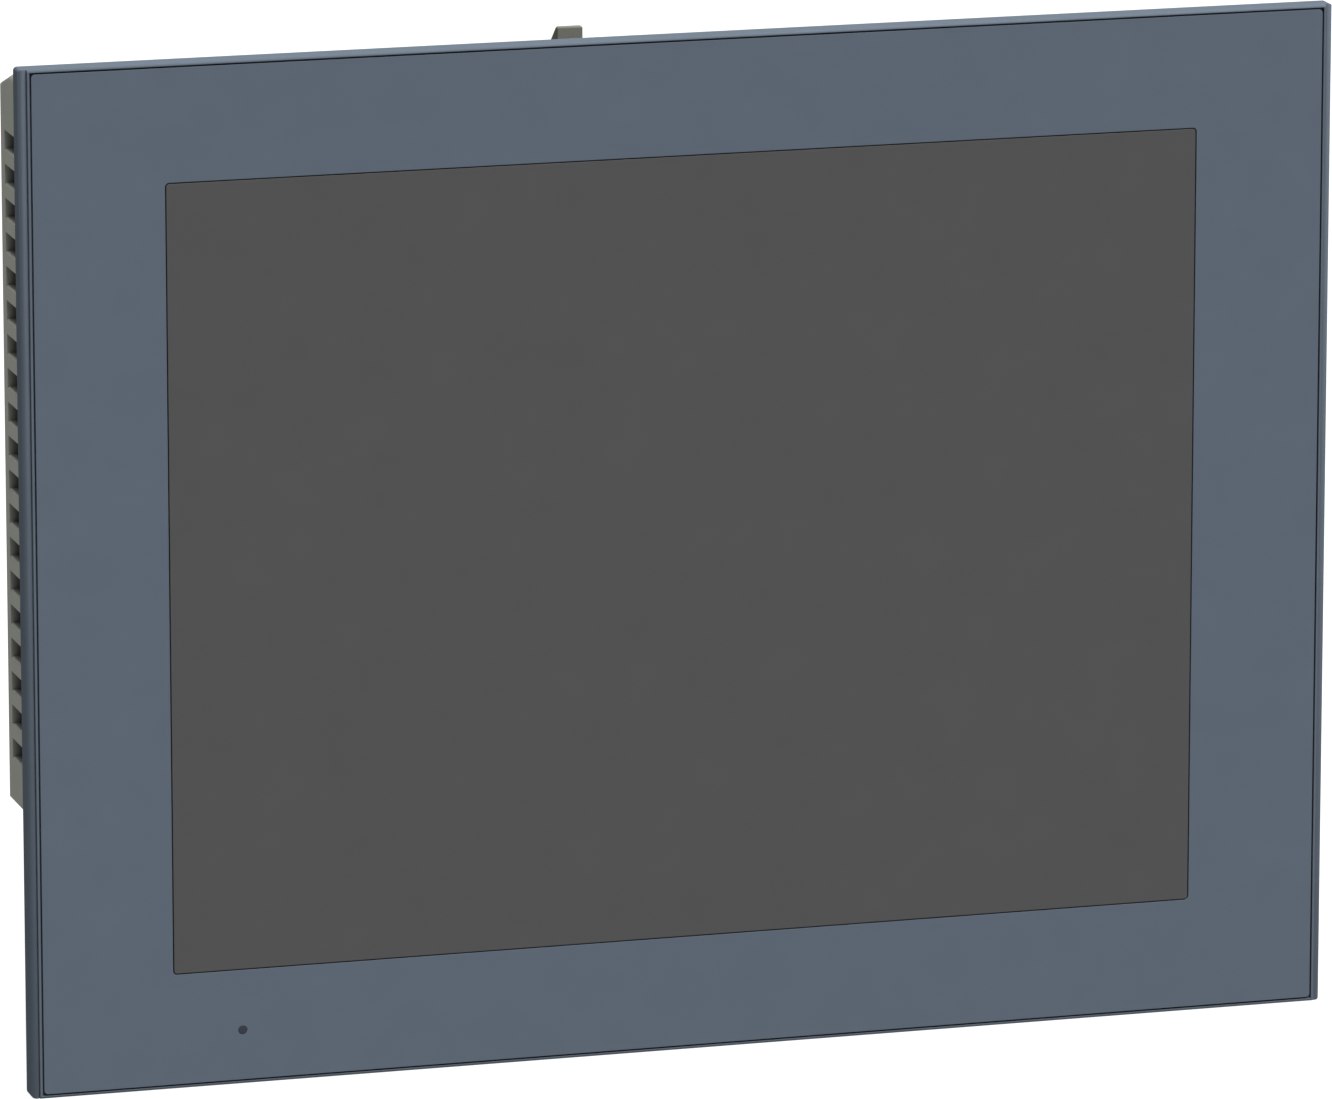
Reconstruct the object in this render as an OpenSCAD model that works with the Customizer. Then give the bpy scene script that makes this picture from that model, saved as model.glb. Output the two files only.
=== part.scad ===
// Panel-mounted touch operator terminal: a wide bezel with a resistive touch display in front of a
// deep ventilated housing. Origin: centre of the bezel's rear face, where the control panel seats.
// +X to the right as the operator sees it, +Y into the cabinet, +Z up.

/* [Bezel] */
// Width of the bezel
bezel_w = 315; // [310:0.5:330]
// Height of the bezel
bezel_h = 241; // [236:0.5:256]
// Thickness of the bezel in front of the control panel
bezel_t = 6; // [5.6:0.1:8]
// Corner radius of the bezel, seen from the front
bezel_corner_r = 0.9; // [0.8:0.1:2]
// Radius of the bezel's left and right front edges
side_round_r = 1.6; // [1:0.1:1.6]
// Radius of the bezel's top and bottom front edges
top_round_r = 0.6; // [0.3:0.05:0.6]
// Height of the step between the bezel's lip and its rounded sides
lip_step = 0.6; // [0.2:0.05:0.7]
// Width of the groove along the foot of that step
lip_groove = 0.2; // [0.1:0.05:0.3]

/* [Overlay] */
// Width of the recess that holds the front overlay
recess_w = 310.1; // [300:0.1:310.4]
// Height of the recess that holds the front overlay
recess_h = 239.7; // [230:0.1:239.7]
// Joint between the overlay and the bezel
overlay_gap = 0.4; // [0.1:0.05:0.5]
// Thickness of the overlay
overlay_t = 0.8; // [0.5:0.1:1]
// Width of the display window
window_w = 247.7; // [240:0.1:249]
// Height of the display window
window_h = 186.2; // [180:0.1:187.2]
// Distance of the window's middle below the centre
window_drop = 0.15; // [0:0.05:0.3]
// Corner radius of the display window
window_r = 1; // [0.6:0.1:2]
// Distance of the status light left of the centre
light_x = 107.4; // [90:0.1:120]
// Distance of the status light below the centre
light_z = 107.6; // [106:0.1:109]
// Radius of the status light
light_r = 1; // [0.8:0.1:1.4]

/* [Housing] */
// Width of the rear housing, which passes through the panel cut-out
housing_w = 299.8; // [299:0.1:300.5]
// Height of the rear housing
housing_h = 226.5; // [226:0.1:227]
// Depth of the housing behind the panel seat
housing_d = 50; // [49:0.5:56]
// Depth of the shallow lower part of the housing
shallow_d = 24; // [23:0.5:24]
// Height of the connector ledge, measured down from the centre
ledge_z = 62.2; // [61.4:0.1:62.4]
// Thickness of the housing's side walls
side_wall = 3; // [2.8:0.1:3.2]
// Thickness of the housing's other walls
wall = 2.5; // [2.3:0.1:2.6]
// Angle at which the top of the housing falls away
top_slope = 18; // [15:1:19]
// Distance behind the panel seat where the top starts to fall
slope_start = 33; // [32:0.5:34]
// Radius of the housing's upper rear edge
top_rear_r = 6; // [4:0.5:6]
// Radius of the ledge's rear edge
ledge_rear_r = 3.6; // [2.6:0.1:3.6]
// Radius of the housing's upright rear edges
side_rear_r = 3.1; // [2:0.1:3.2]
// Radius of the housing's long side edges, above and at the ledge
long_edge_r = 1.1; // [0.5:0.1:1.5]

/* [Vents] */
// Number of vent slots in each side
vent_count = 19; // [10:1:19]
// Spacing of the vent slots
vent_pitch = 8.03; // [7:0.01:8.1]
// Height of a vent slot
vent_h = 4.1; // [3:0.1:4.8]
// Distance behind the panel seat where a side slot ends
vent_end = 43.6; // [40:0.1:44]
// Chamfer round the mouths of the slots
vent_chamfer = 0.4; // [0.1:0.05:0.6]
// Height of the top slot's centre
vent_top_z = 95.5; // [94:0.1:96]

/* [Hook] */
// Distance of the hook's middle left of the centre
hook_x = 20.8; // [15:0.1:30]
// Width of the hook
hook_w = 6; // [4:0.1:7]
// Height of the hook's tip
hook_top_z = 119.6; // [118:0.1:120.2]
// Distance of the hook's catch face behind the panel seat
hook_y = 20; // [19:0.1:21]

/* [Hidden] */
$fn = 48;
eps = 0.5; // how far a cut runs past the face that it opens

front_y = -bezel_t;
housing_front_y = -3; // the housing's rim stands in a pocket in the bezel
housing_top = housing_h / 2;
housing_side = housing_w / 2;
lip_w = 0.55; // flat strip between the overlay's recess and the lip step

window_gap = 0.3; // joint between the overlay and the touch film's raised field
touch_w = 262;
touch_h = 200.6;
tail_x = -90; // middle of the touch sensor's flat tail
film_y = front_y + overlay_t;
glass_front_y = film_y + 0.2;
glass_t = 1.8;
lip_groove_depth = 0.3;
relief_w = 0.9; // glue relief along the edge of the overlay's recess
relief_y = film_y + 0.6;
gasket_outer = [154.9, 117.9]; // half sizes of the panel gasket
gasket_w = 3;
gasket_t = 1.8;

lcd_w = 260.5;
lcd_h = 204;
lcd_front_y = -2.2;
lcd_rear_y = 6.4;
lcd_skin = 0.6;

chassis_y = 10;
chassis_t = 1.2;
chassis_half = [140, 97];
chassis_bolts = [for (x = [-136, 136], z = [-88, 88]) [x, z]];
cable_slot = [60, 45]; // middle of the hole that the display cable passes through

board_y = 27;
board_t = 1.6;
board_rear = board_y + board_t;
board_half_w = 131;
board_bottom = -58.5;
board_top = 70;
board_bolts = [for (x = [-124, 0, 124], z = [-28, 62]) [x, z]];

chip_place = [-30, 22]; // middle of the processor and its heat sink
chip_half = 14;
chip_t = 2;
sink_half = 24;
sink_base = 3;
sink_fin = 1.6;
sink_fin_pitch = 5.8;
battery_place = [80, 40];
buzzer_place = [110, 40];

vent_start = 14;
upper_vent_w = 3;
upper_vent_x = [for (s = [-1, 1], n = [0 : 11]) s * (44 + 8 * n)];
top_vent_span = [2, 10.4]; // along the slope, from where it starts
rear_vent_z = [78, 98];
fastener_x = 100;
fastener_y = [9, 18];
fastener_half_w = 7;
plate_size = [96, 60]; // rating plate
plate_z = 12;
plate_t = 0.35;
plate_seat = 0.4;

housing_bolts = [
    for (x = [-141, 141], z = [-106.5, 22, 100]) [x, z],
    for (x = [-50, 50]) [x, -106.5]
];
bolt_floor_y = 8; // where the housing screws' heads rest
bolt_well_r = 3.5;

port_face = -ledge_z + 0.4; // lower face of the connectors that sit flush in the ledge
port_gap = 0.4; // round each connector, where it looks out of the ledge
power_x = -116;
power_half_w = 13.4;
power_pitch = 5.08;
power_screw_x = 10.7;
power_y = board_rear + 5;
plug_h = 15;
serial_x = -73;
serial_jack_x = -38;
ethernet_x = [-15, 5];
usb_x = [28, 46];
mini_x = 64;
card_x = 112;

dsub_flange = [30.8, 12.4];
mini_size = [8, 4, 9];
jack_size = [16, 13.4, 21];
jack_mouth = [11.8, 6.8, 14];
usb_size = [14.4, 7, 14];
dsub_y = 35.4; // middle of the nine-way serial connector
dsub_screw_gap = 24.99;

door_half_w = 20.7;
door_gap = 0.3;
door_axis = [28.5, -ledge_z + 1.6];
door_t = 1.8;
door_rear = 46.1;
door_pin_r = 0.9;

hook_pivot = [42, 104.5];
hook_lean = 40; // slope of the catch's back
switch_x = 126;
switch_y = 37;
switch_face = -57;
switch_travel = 1.9;
card_slot_x = 105.4;
card_face = -54.5; // lower face of the card socket

bezel_colour = [0.30, 0.35, 0.40];
overlay_colour = [0.36, 0.40, 0.44];
screen_colour = [0.32, 0.32, 0.32];
housing_colour = [0.44, 0.46, 0.43];
board_colour = [0.05, 0.35, 0.20];
steel_colour = [0.75, 0.76, 0.78];
black_colour = [0.08, 0.08, 0.09];
gold_colour = [0.83, 0.69, 0.35];

// ---------- building blocks ----------

// A box between two values on each axis
module box(x, y, z) {
    translate([x[0], y[0], z[0]]) cube([x[1] - x[0], y[1] - y[0], z[1] - z[0]]);
}

// An outline in X and Z, drawn from y0 to y1
module slab(y0, y1) {
    translate([0, y1, 0]) rotate([90, 0, 0]) linear_extrude(y1 - y0) children();
}

// An outline in Y and Z, drawn from x0 to x1
module side_view(x0, x1) {
    translate([x0, 0, 0]) rotate([90, 0, 90]) linear_extrude(x1 - x0) children();
}

// An outline in X and Y, drawn from z0 to z1
module plan_view(z0, z1) {
    translate([0, 0, z0]) linear_extrude(z1 - z0) children();
}

// A rectangle about the origin with round corners
module rounded_rect(w, h, r) {
    square([w - 2 * r, h], center = true);
    square([w, h - 2 * r], center = true);
    for (x = [-1, 1], y = [-1, 1]) translate([x * (w / 2 - r), y * (h / 2 - r)]) circle(r);
}

// A straight-sided outline whose corners, given anticlockwise, are rounded outwards by r
module rounded_outline(corners, r) {
    polygon(corners);
    for (i = [0 : len(corners) - 1]) {
        a = corners[i];
        b = corners[(i + 1) % len(corners)];
        n = [b[1] - a[1], a[0] - b[0]] / norm(b - a) * r;
        polygon([a, a + n, b + n, b]);
        translate(a) circle(r);
    }
}

// A round bar along Y
module bar_y(r, y0, y1, at = [0, 0]) {
    translate([at[0], y1, at[1]]) rotate([90, 0, 0]) cylinder(r = r, h = y1 - y0);
}

// A round bar along Z
module bar_z(r, z0, z1, at = [0, 0]) {
    translate([at[0], at[1], z0]) cylinder(r = r, h = z1 - z0);
}

// A round bar along X, at a place in Y and Z
module bar_x(r, x0, x1, at = [0, 0]) {
    translate([x0, at[0], at[1]]) rotate([0, 90, 0]) cylinder(r = r, h = x1 - x0);
}

// A flat ribbon, as wide as width at x, that follows points in Y and Z
module ribbon(points, x, width, t) {
    side_view(x - width / 2, x + width / 2)
        for (i = [0 : len(points) - 2]) {
            a = points[i];
            b = points[i + 1];
            n = [a[1] - b[1], b[0] - a[0]] / norm(b - a) * t / 2;
            polygon([a - n, b - n, b + n, a + n]);
            translate(a) circle(t / 2);
            translate(b) circle(t / 2);
        }
}

// A cross-head screw along Y: its head's top at y_top, its point towards the front
module screw_y(at, y_top, head_r, head_t, r, length) {
    difference() {
        union() {
            bar_y(head_r, y_top - head_t, y_top, at);
            bar_y(r, y_top - head_t - length, y_top - head_t, at);
        }
        for (size = [[head_r, 0.5], [0.5, head_r]])
            box([at[0] - size[0] / 1.6, at[0] + size[0] / 1.6], [y_top - 0.6 * head_t, y_top + eps],
                [at[1] - size[1] / 1.6, at[1] + size[1] / 1.6]);
    }
}

// ---------- bezel and front ----------

// Plan of the bezel: a flat lip, a step down with a groove at its foot, and a round edge on each side
module bezel_plan() {
    lip_edge = recess_w / 2 + lip_w;
    step_y = front_y + lip_step;
    round_x = bezel_w / 2 - side_round_r;
    round_y = step_y + side_round_r;
    difference() {
        union() {
            translate([-lip_edge, front_y]) square([2 * lip_edge, -front_y]);
            translate([-bezel_w / 2, round_y]) square([bezel_w, -round_y]);
            translate([-round_x, step_y]) square([2 * round_x, -step_y]);
            for (s = [-1, 1]) translate([s * round_x, round_y]) circle(side_round_r);
        }
        for (x = [-lip_edge - lip_groove, lip_edge])
            translate([x, step_y - eps]) square([lip_groove, eps + lip_groove_depth]);
    }
}

// Side view of the bezel: a small radius along the top and bottom front edges
module bezel_profile() {
    half = bezel_h / 2;
    translate([front_y, -(half - top_round_r)]) square([bezel_t, 2 * (half - top_round_r)]);
    translate([front_y + top_round_r, -half]) square([bezel_t - top_round_r, bezel_h]);
    for (s = [-1, 1]) translate([front_y + top_round_r, s * (half - top_round_r)]) circle(top_round_r);
}

module front_bezel() {
    color(bezel_colour) difference() {
        intersection() {
            slab(front_y, 0) rounded_rect(bezel_w, bezel_h, bezel_corner_r);
            plan_view(-bezel_h / 2, bezel_h / 2) bezel_plan();
            side_view(-bezel_w / 2, bezel_w / 2) bezel_profile();
        }
        slab(front_y - eps, film_y) square([recess_w, recess_h], center = true);
        slab(front_y - eps, relief_y) difference() {
            square([recess_w, recess_h], center = true);
            square([recess_w - 2 * relief_w, recess_h - 2 * relief_w], center = true);
        }
        slab(front_y, eps) rounded_rect(touch_w + 0.8, touch_h + 0.8, 1);
        slab(housing_front_y, eps) rounded_rect(housing_w + 0.6, housing_h + 0.6, 3.3);
        slab(-gasket_t, eps) gasket_outline();
        bar_y(light_r + 0.05, front_y, 0, [-light_x, -light_z]);
    }
    color(bezel_colour) {
        for (at = chassis_bolts) boss(at, 3.2, chassis_y, 1.35);
        for (at = housing_bolts) boss(at, 3, bolt_floor_y - 2, 1.55);
    }
}

// A screw boss that rises from the back of the bezel
module boss(at, r, y_top, bore_r) {
    difference() {
        bar_y(r, housing_front_y, y_top, at);
        bar_y(bore_r, housing_front_y + 0.6, y_top + eps, at);
    }
}

module gasket_outline() {
    difference() {
        rounded_rect(2 * gasket_outer[0], 2 * gasket_outer[1], 4);
        rounded_rect(2 * (gasket_outer[0] - gasket_w), 2 * (gasket_outer[1] - gasket_w), 2);
    }
}

module panel_gasket() {
    color(black_colour) slab(-gasket_t, 0) gasket_outline();
}

module front_overlay() {
    color(overlay_colour) difference() {
        slab(front_y, film_y) rounded_rect(recess_w - 2 * overlay_gap, recess_h - 2 * overlay_gap, 0.9);
        slab(front_y - eps, film_y + eps) translate([0, -window_drop])
            rounded_rect(window_w, window_h, window_r);
        bar_y(light_r + 0.05, front_y - eps, film_y + eps, [-light_x, -light_z]);
    }
}

// The flexible sheet of the touch sensor: its raised field fills the window
module touch_film() {
    color(screen_colour) {
        slab(front_y, film_y) translate([0, -window_drop]) rounded_rect(
            window_w - 2 * window_gap, window_h - 2 * window_gap, window_r - window_gap);
        slab(film_y, glass_front_y) rounded_rect(touch_w, touch_h, 0.8);
    }
}

module touch_glass() {
    color([0.6, 0.7, 0.7]) slab(glass_front_y, glass_front_y + glass_t)
        rounded_rect(touch_w, touch_h, 0.8);
}

module touch_tail() {
    route = [[-2.85, -99.4], [-2.85, -103.4], [14, -103.4], [14, -60], [24.8, -50], [24.8, -44]];
    color([0.75, 0.5, 0.15]) ribbon(route, tail_x, 12, 0.25);
    color(black_colour) box([tail_x - 7, tail_x + 7], [board_y - 3, board_y], [-49, -43]);
}

module status_light() {
    color([0.12, 0.14, 0.13]) {
        bar_y(light_r, front_y, housing_front_y, [-light_x, -light_z]);
        bar_y(2 * light_r, housing_front_y, housing_front_y + 0.9, [-light_x, -light_z]);
    }
}

module status_board() {
    color(board_colour) box([-light_x - 10, -light_x + 10], [-0.9, 0.3], [-light_z - 2.8, -light_z + 4.2]);
    color("white") box([-light_x - 1.6, -light_x + 1.6], [-1.9, -0.9], [-light_z - 1, -light_z + 1]);
}

// ---------- display ----------

module display_gasket() {
    color(black_colour) slab(glass_front_y + glass_t, lcd_front_y) difference() {
        square([257, 197.6], center = true);
        square([249.5, 188], center = true);
    }
}

module lcd_frame() {
    color(steel_colour) difference() {
        slab(lcd_front_y, 6) square([lcd_w, lcd_h], center = true);
        slab(lcd_front_y - eps, 0) square([249.5, 188], center = true);
        slab(lcd_front_y + lcd_skin, 6 + eps)
            square([lcd_w - 2 * lcd_skin, lcd_h - 2 * lcd_skin], center = true);
    }
}

module lcd_cell() {
    color([0.15, 0.16, 0.18]) slab(lcd_front_y + lcd_skin, 0.4) square([254, 194], center = true);
}

module light_guide() {
    color([0.9, 0.92, 0.92]) box([-125, 125], [0.5, 3.5], [-94.5, 95.5]);
}

module backlight_strip() {
    color([0.9, 0.9, 0.6]) box([-125, 125], [0.5, 3.5], [-98, -95]);
}

module lcd_tray() {
    color([0.8, 0.8, 0.78]) difference() {
        slab(0.5, lcd_rear_y) square([lcd_w - 2 * lcd_skin - 0.4, lcd_h - 2 * lcd_skin - 0.4], center = true);
        slab(0, 3.6) square([251, 197], center = true);
    }
}

module lcd_cable() {
    x = cable_slot[0];
    z = cable_slot[1];
    color([0.85, 0.85, 0.8]) {
        box([x - 11, x + 11], [lcd_rear_y, lcd_rear_y + 1.8], [z - 9, z - 5]);
        ribbon([[lcd_rear_y + 1, z - 5], [lcd_rear_y + 1, z], [24, z], [24.8, z - 5]], x, 18, 0.4);
        box([x - 11, x + 11], [board_y - 3, board_y], [z - 9, z - 5]);
    }
}

// Pads that press the display against its front gasket
module display_pads() {
    color(black_colour) for (x = [-110, 110], z = [-80, 80])
        box([x - 10, x + 10], [lcd_rear_y, chassis_y], [z - 6, z + 6]);
}

// ---------- chassis and electronics ----------

module chassis_plate() {
    color(steel_colour) difference() {
        slab(chassis_y, chassis_y + chassis_t)
            rounded_rect(2 * chassis_half[0], 2 * chassis_half[1], 4);
        for (at = chassis_bolts) bar_y(1.7, chassis_y - eps, chassis_y + chassis_t + eps, at);
        for (at = housing_bolts) bar_y(6, chassis_y - eps, chassis_y + chassis_t + eps, at);
        for (at = board_bolts) bar_y(1.6, chassis_y - eps, chassis_y + chassis_t + eps, at);
        box([cable_slot[0] - 15, cable_slot[0] + 15], [chassis_y - eps, chassis_y + chassis_t + eps],
            [cable_slot[1] - 12, cable_slot[1] + 8]);
        for (x = [-70, 0], z = [-70, 10])
            bar_y(9, chassis_y - eps, chassis_y + chassis_t + eps, [x, z]);
    }
}

module chassis_screws() {
    color(steel_colour) for (at = chassis_bolts)
        screw_y(at, chassis_y + chassis_t + 1.8, 2.6, 1.8, 1.3, 7.5);
}

module board_standoffs() {
    color(gold_colour) for (at = board_bolts) difference() {
        bar_y(2.8, chassis_y + chassis_t, board_y, at);
        bar_y(1.35, chassis_y + chassis_t - eps, board_y + eps, at);
    }
}

module main_board() {
    color(board_colour) difference() {
        box([-board_half_w, board_half_w], [board_y, board_rear], [board_bottom, board_top]);
        for (at = board_bolts) bar_y(1.6, board_y - eps, board_rear + eps, at);
    }
}

module board_screws() {
    color(steel_colour) for (at = board_bolts) screw_y(at, board_rear + 1.6, 2.5, 1.6, 1.3, 6);
}

module processor() {
    color(black_colour) box([chip_place[0] - chip_half, chip_place[0] + chip_half],
        [board_rear, board_rear + chip_t], [chip_place[1] - chip_half, chip_place[1] + chip_half]);
}

module heat_sink() {
    base_y = board_rear + chip_t;
    left = chip_place[0] - sink_half;
    z = [chip_place[1] - sink_half, chip_place[1] + sink_half];
    color([0.55, 0.57, 0.6]) {
        box([left, left + 2 * sink_half], [base_y, base_y + sink_base], z);
        for (i = [0 : 8]) box([left + sink_fin_pitch * i, left + sink_fin_pitch * i + sink_fin],
            [base_y + sink_base, base_y + 12], z);
    }
}

module memory_chips() {
    color(black_colour) for (i = [0 : 3])
        box([14, 26], [board_rear, board_rear + 1.2], [-18 + 20 * i, -6 + 20 * i]);
}

module interface_chips() {
    color(black_colour) for (x = [-90, -62, -17, 40, 66])
        box([x - 6, x + 6], [board_rear, board_rear + 1.6], [-30, -20]);
}

module power_coil() {
    color([0.2, 0.2, 0.22]) for (z = [-12, 12])
        box([-122, -108], [board_rear, board_rear + 9], [z - 7, z + 7]);
}

module capacitors() {
    color([0.25, 0.28, 0.35]) for (x = [-98, -86], z = [-8, 8, 24])
        bar_y(4.5, board_rear, board_rear + 13, [x, z]);
}

module backup_battery() {
    color(steel_colour) bar_y(10, board_rear + 1, board_rear + 4.2, battery_place);
    color(black_colour) bar_y(11.5, board_rear, board_rear + 1, battery_place);
}

module buzzer() {
    color(black_colour) difference() {
        bar_y(6, board_rear, board_rear + 8, buzzer_place);
        bar_y(1, board_rear + 4, board_rear + 8 + eps, buzzer_place);
    }
}

// ---------- rear housing ----------

// Side view of the upper, deep part, drawn inset by i on every face but the front
module deep_profile(i) {
    rear = housing_d - i;
    top = housing_top - i;
    bottom = -ledge_z + i;
    start = slope_start - i * tan(top_slope / 2);
    r = top_rear_r - i;
    edge_r = ledge_rear_r - i;
    along = (rear - r - start + r * sin(top_slope)) / cos(top_slope);
    tangent = [start + along * cos(top_slope), top - along * sin(top_slope)];
    centre = tangent - r * [sin(top_slope), cos(top_slope)];
    polygon([
        [housing_front_y - i, bottom], [rear - edge_r, bottom], [rear - edge_r, bottom + edge_r],
        [rear, bottom + edge_r], [rear, centre[1]], centre, tangent, [start, top],
        [housing_front_y - i, top]
    ]);
    translate(centre) circle(r);
    translate([rear - edge_r, bottom + edge_r]) circle(edge_r);
}

// Side view of the lower, shallow part
module shallow_profile(i) {
    rear = shallow_d - i;
    bottom = -housing_top + i;
    r = 4 - i;
    translate([housing_front_y - i, bottom])
        square([rear - r - housing_front_y + i, housing_top - ledge_z + 2 * wall - i]);
    translate([housing_front_y, bottom + r])
        square([rear - housing_front_y, housing_top - ledge_z + 2 * wall - i - r]);
    translate([rear - r, bottom + r]) circle(r);
}

// Plan of the housing with round rear edges
module housing_plan(depth, i_side, i_rear) {
    r = side_rear_r;
    w = housing_w - 2 * i_side;
    rear = depth - i_rear;
    translate([-w / 2, housing_front_y - eps]) square([w, rear - r - housing_front_y + eps]);
    translate([-w / 2 + r, housing_front_y - eps]) square([w - 2 * r, rear - housing_front_y + eps]);
    for (s = [-1, 1]) translate([s * (w / 2 - r), rear - r]) circle(r);
}

// The housing's outer form (i = 0) or its cavity
module housing_form(i_side, i) {
    intersection() {
        union() {
            intersection() {
                side_view(-housing_side, housing_side) deep_profile(i);
                plan_view(-housing_top, housing_top) housing_plan(housing_d, i_side, i);
            }
            intersection() {
                side_view(-housing_side, housing_side) shallow_profile(i);
                plan_view(-housing_top, housing_top) housing_plan(shallow_d, i_side, i);
            }
        }
        slab(housing_front_y - 2 * wall, housing_d)
            rounded_rect(housing_w - 2 * i_side, housing_h - 2 * i, 3);
    }
}

// The space that the housing keeps to so that its long side edges come out round: the sloping top has
// its own, tilted, outline, and the shallow part passes through unchanged
module edge_space() {
    intersection() {
        union() {
            slab(2 * housing_front_y, housing_d + eps)
                translate([0, (housing_top - ledge_z) / 2])
                    rounded_rect(housing_w, housing_top + ledge_z, long_edge_r);
            slab(2 * housing_front_y, shallow_d + eps) square([housing_w, housing_h], center = true);
        }
        on_slope() slab(-housing_h, housing_h) translate([0, -housing_h])
            rounded_rect(housing_w, 2 * housing_h, long_edge_r);
    }
}

// Puts its child's XY plane on the sloping top, with the origin where the slope starts
module on_slope() {
    translate([0, slope_start, housing_top]) rotate([-top_slope, 0, 0]) children();
}

// Section of a slot that opens at y = 0, where its mouth is chamfered
module slot_section(width, depth) {
    half = width / 2;
    flare = half + vent_chamfer + eps;
    polygon([
        [-half, -depth], [half, -depth], [half, -vent_chamfer], [flare, eps], [-flare, eps],
        [-half, -vent_chamfer]
    ]);
}

module side_vents() {
    for (s = [-1, 1], n = [0 : vent_count - 1])
        slab(vent_start, vent_end)
            translate([s * housing_side, vent_top_z - n * vent_pitch]) rotate(-90 * s)
                slot_section(vent_h, side_wall + 0.2);
}

module top_vents() {
    for (x = upper_vent_x) on_slope() slab(top_vent_span[0], top_vent_span[1])
        translate([x, 0]) slot_section(upper_vent_w, 3 * wall);
}

module rear_vents() {
    for (x = upper_vent_x) plan_view(rear_vent_z[0], rear_vent_z[1])
        translate([x, housing_d]) slot_section(upper_vent_w, 2 * wall);
}

// The four slots that take the installation fasteners, two above and two below
module fastener_slots() {
    for (x = [-fastener_x, fastener_x], z = [-1, 1])
        box([x - fastener_half_w, x + fastener_half_w], fastener_y, [z * housing_top - 4, z * housing_top + 4]);
}

// Cuts in the ledge that the connectors look out of, each from a middle, a width and a range in Y
module connector_cuts() {
    y = board_rear;
    cuts = [
        [power_x, 2 * power_half_w, [y, y + 10]],
        [serial_x, dsub_flange[0], [dsub_y - dsub_flange[1] / 2, dsub_y + dsub_flange[1] / 2]],
        for (x = [serial_jack_x, ethernet_x[0], ethernet_x[1]]) [x, jack_size[0], [y, y + jack_size[1]]],
        for (x = usb_x) [x, usb_size[0], [y, y + usb_size[1]]],
        [mini_x, mini_size[0], [y, y + mini_size[1]]]
    ];
    for (c = cuts) {
        half = c[1] / 2 + port_gap;
        box([c[0] - half, c[0] + half], [c[2][0] - port_gap, c[2][1] + port_gap],
            [-ledge_z - eps, -ledge_z + wall + eps]);
    }
    box([card_x - door_half_w - door_gap, card_x + door_half_w + door_gap],
        [door_axis[0] - 1.9, door_rear + door_gap], [-ledge_z - eps, -ledge_z + wall + 3]);
}

module rear_housing() {
    hinge_ends = [card_x - door_half_w - door_gap, card_x + door_half_w + door_gap];
    color(housing_colour) difference() {
        union() {
            difference() {
                intersection() {
                    housing_form(0, 0);
                    edge_space();
                }
                housing_form(side_wall, wall);
            }
            for (at = housing_bolts) intersection() {
                bar_y(bolt_well_r + 1.5, bolt_floor_y - 2, housing_d, at);
                housing_form(0, 0);
            }
            // ears that carry the card door's pins
            for (e = [[hinge_ends[0] - 3, hinge_ends[0]], [hinge_ends[1], hinge_ends[1] + 3]])
                box(e, [26, 31.5], [-ledge_z, -ledge_z + 3.1]);
        }
        for (at = housing_bolts) {
            bar_y(bolt_well_r, bolt_floor_y, housing_d + eps, at);
            bar_y(1.75, bolt_floor_y - 2 - eps, bolt_floor_y + eps, at);
        }
        side_vents();
        top_vents();
        rear_vents();
        fastener_slots();
        connector_cuts();
        bar_x(door_pin_r + 0.05, hinge_ends[0] - 2.2, hinge_ends[1] + 2.2, door_axis);
        // fingernail notch behind the card door
        box([card_x - 5, card_x + 5], [door_rear, door_rear + 2], [-ledge_z - eps, -ledge_z + 1]);
        // slot for the hook
        box([-hook_x - hook_w / 2 - 0.6, -hook_x + hook_w / 2 + 0.6], [hook_y - 5.5, hook_y + 9],
            [housing_top - wall - 1, housing_top + eps]);
        // seat for the rating plate
        slab(housing_d - plate_seat, housing_d + eps) translate([0, plate_z])
            rounded_rect(plate_size[0] + 0.6, plate_size[1] + 0.6, 2.3);
    }
}

module housing_screws() {
    color(steel_colour) for (at = housing_bolts)
        screw_y(at, bolt_floor_y + 2, 2.9, 2, 1.5, 9);
}

module rating_plate() {
    color([0.82, 0.83, 0.84]) slab(housing_d - plate_seat, housing_d - plate_seat + plate_t)
        translate([0, plate_z]) rounded_rect(plate_size[0], plate_size[1], 2);
}

// ---------- connectors ----------

module power_header() {
    color([0.12, 0.35, 0.2]) difference() {
        box([power_x - power_half_w, power_x + power_half_w], [board_rear, board_rear + 10],
            [port_face, port_face + 13]);
        box([power_x - 8, power_x + 8], [board_rear + 1.6, board_rear + 8.4],
            [port_face - eps, port_face + 9]);
        for (s = [-1, 1]) bar_z(1.6, port_face - eps, port_face + 7, [power_x + s * power_screw_x, power_y]);
    }
}

module power_pins() {
    color(steel_colour) for (n = [-1 : 1])
        bar_z(0.6, port_face + 2, port_face + 9, [power_x + power_pitch * n, power_y]);
}

// D-shaped outline of the nine-way connector, grown by g
module dsub_outline(g) {
    rounded_outline([[-6.6, -2.2], [6.6, -2.2], [7.2, 2.2], [-7.2, 2.2]], 1.4 + g);
}

module serial_shell() {
    color(steel_colour) translate([serial_x, dsub_y, 0]) {
        difference() {
            union() {
                translate([-dsub_flange[0] / 2, -dsub_flange[1] / 2, port_face])
                    cube([dsub_flange[0], dsub_flange[1], 0.9]);
                translate([0, 0, port_face - 5]) linear_extrude(5) dsub_outline(0.5);
            }
            translate([0, 0, port_face - 5 - eps]) linear_extrude(7) dsub_outline(0);
            for (s = [-1, 1]) bar_z(1.6, port_face - eps, port_face + 2, [s * dsub_screw_gap / 2, 0]);
        }
    }
}

module serial_insert() {
    color(black_colour) translate([serial_x, dsub_y, 0]) {
        translate([0, 0, port_face + 0.9]) linear_extrude(9) square([19, 10.6], center = true);
        translate([0, 0, port_face]) linear_extrude(0.9) dsub_outline(-0.05);
    }
}

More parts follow.
